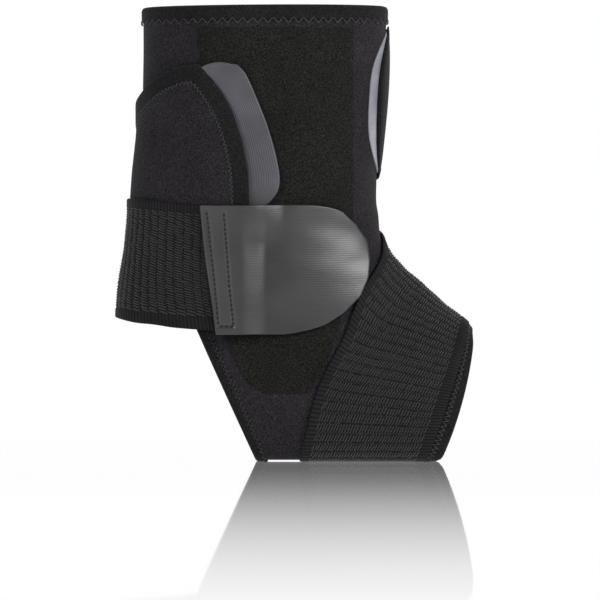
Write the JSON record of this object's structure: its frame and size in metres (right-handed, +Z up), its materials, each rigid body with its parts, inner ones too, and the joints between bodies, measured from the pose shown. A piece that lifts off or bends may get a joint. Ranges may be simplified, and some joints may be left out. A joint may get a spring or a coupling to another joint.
{
  "type": "ankle brace",
  "caption": "Neoprene wrap ankle brace with an open heel and toes, crossing flaps, a ribbed elastic strap and a grey hook tab.",
  "frame": {"origin": "on the floor under the middle of the bounding box", "axes": "+Z up along the leg, +X towards the toes, -Y the side that carries the tab"},
  "size_m": [0.1904, 0.0902, 0.2391],
  "materials": {
    "jersey_neoprene": "matte knit",
    "loop_cloth": "napped",
    "binding_cloth": "matte knit",
    "elastic_webbing": "ribbed weave",
    "hook_tape": "satin"
  },
  "bodies": {
    "root": {"sleeve": "jersey_neoprene", "loop_panel": "loop_cloth", "top_hem": "binding_cloth", "heel_binding": "binding_cloth", "toe_binding": "binding_cloth", "back_flap": "jersey_neoprene", "back_flap_hook_strip": "hook_tape", "front_flap": "jersey_neoprene", "front_flap_hook_strip": "hook_tape", "elastic_strap": "elastic_webbing", "hook_tab": "hook_tape"}
  },
  "joints": []
}
